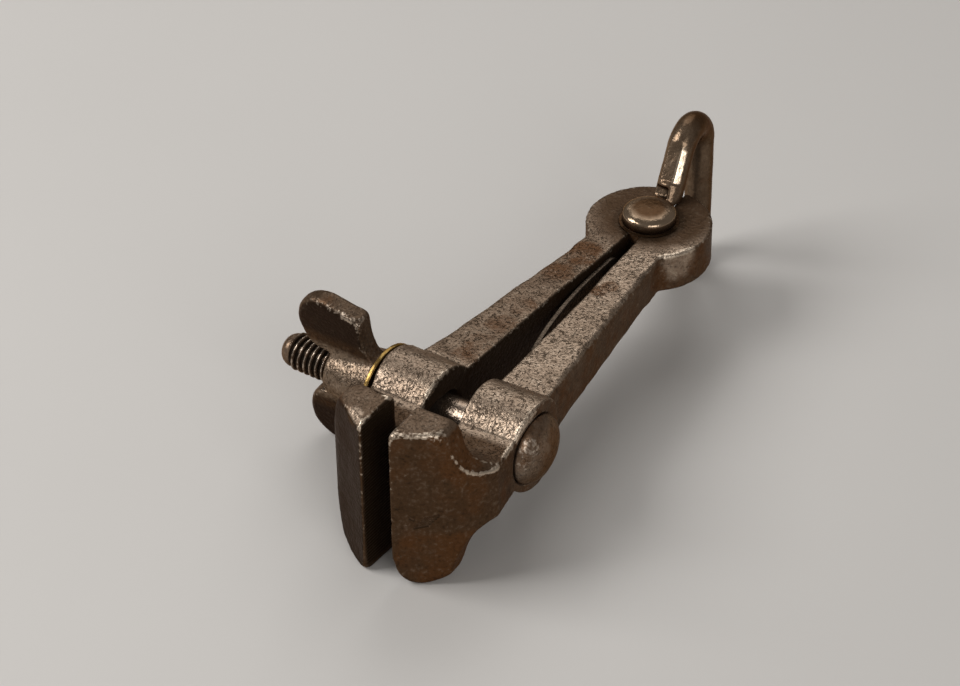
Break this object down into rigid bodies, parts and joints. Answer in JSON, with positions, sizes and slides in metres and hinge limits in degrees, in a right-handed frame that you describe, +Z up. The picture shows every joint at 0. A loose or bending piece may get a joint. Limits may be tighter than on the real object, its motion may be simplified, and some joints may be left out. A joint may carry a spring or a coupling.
{
  "type": "hand vise",
  "caption": "Old forged steel hand vise: two hinged legs with broad jaws, a clamp screw with wing nut, a leaf spring and a hanging loop.",
  "frame": {"origin": "under the middle of the vise's bounding box, on the surface that the vise lies on", "axes": "+Z up along the pivot rivet; -Y towards the jaws, +Y towards the hanging loop; -X along the clamp screw towards the wing nut"},
  "size_m": [0.0552, 0.114, 0.0335],
  "materials": {
    "forged_steel": "forged steel with brown-grey patina, pitted, worn bright at the edges",
    "worn_steel": "steel handled smooth, bronze-brown patina",
    "dark_steel": "dark steel with bright crests and dark roots",
    "spring_steel": "dark brown spring steel",
    "brass": "golden brass, dulled"
  },
  "bodies": {
    "fixed_leg": {"right_leg": "forged_steel", "pivot_rivet": "worn_steel", "clamp_screw": "dark_steel", "screw_pin": "dark_steel"},
    "moving_leg": {"left_leg": "forged_steel", "leaf_spring": "spring_steel", "spring_rivet": "spring_steel"},
    "washer": {"brass_washer": "brass"},
    "nut": {"wing_nut": "worn_steel"},
    "loop": {"hanging_loop": "worn_steel"}
  },
  "joints": [
    {"name": "left_leg_swing", "type": "hinge", "parent": "fixed_leg", "child": "moving_leg", "pos_m": [0.00843, 0.03243, 0.0167], "axis": [0, 0, -1], "range_deg": [-3.4, 8.5], "deforming": ["leaf_spring"]},
    {"name": "washer_slide", "type": "slide", "parent": "fixed_leg", "child": "washer", "axis": [-1, 0, 0], "range_m": [-0.0039, 0.0097]},
    {"name": "wing_nut_turn", "type": "hinge", "parent": "washer", "child": "nut", "pos_m": [-0.00585, -0.03067, 0.0167], "axis": [-1, 0, 0], "range_deg": [-1090, 2730]},
    {"name": "loop_swing", "type": "hinge", "parent": "fixed_leg", "child": "loop", "pos_m": [0.00843, 0.03243, 0.0167], "axis": [0, 0, 1], "range_deg": [-130, 118]}
  ],
  "couplings": [
    {"joint": "washer_slide", "follows": "wing_nut_turn", "m_per_rad": 0.00020213},
    {"joint": "left_leg_swing", "follows": "wing_nut_turn", "ratio": 0.0031096}
  ]
}
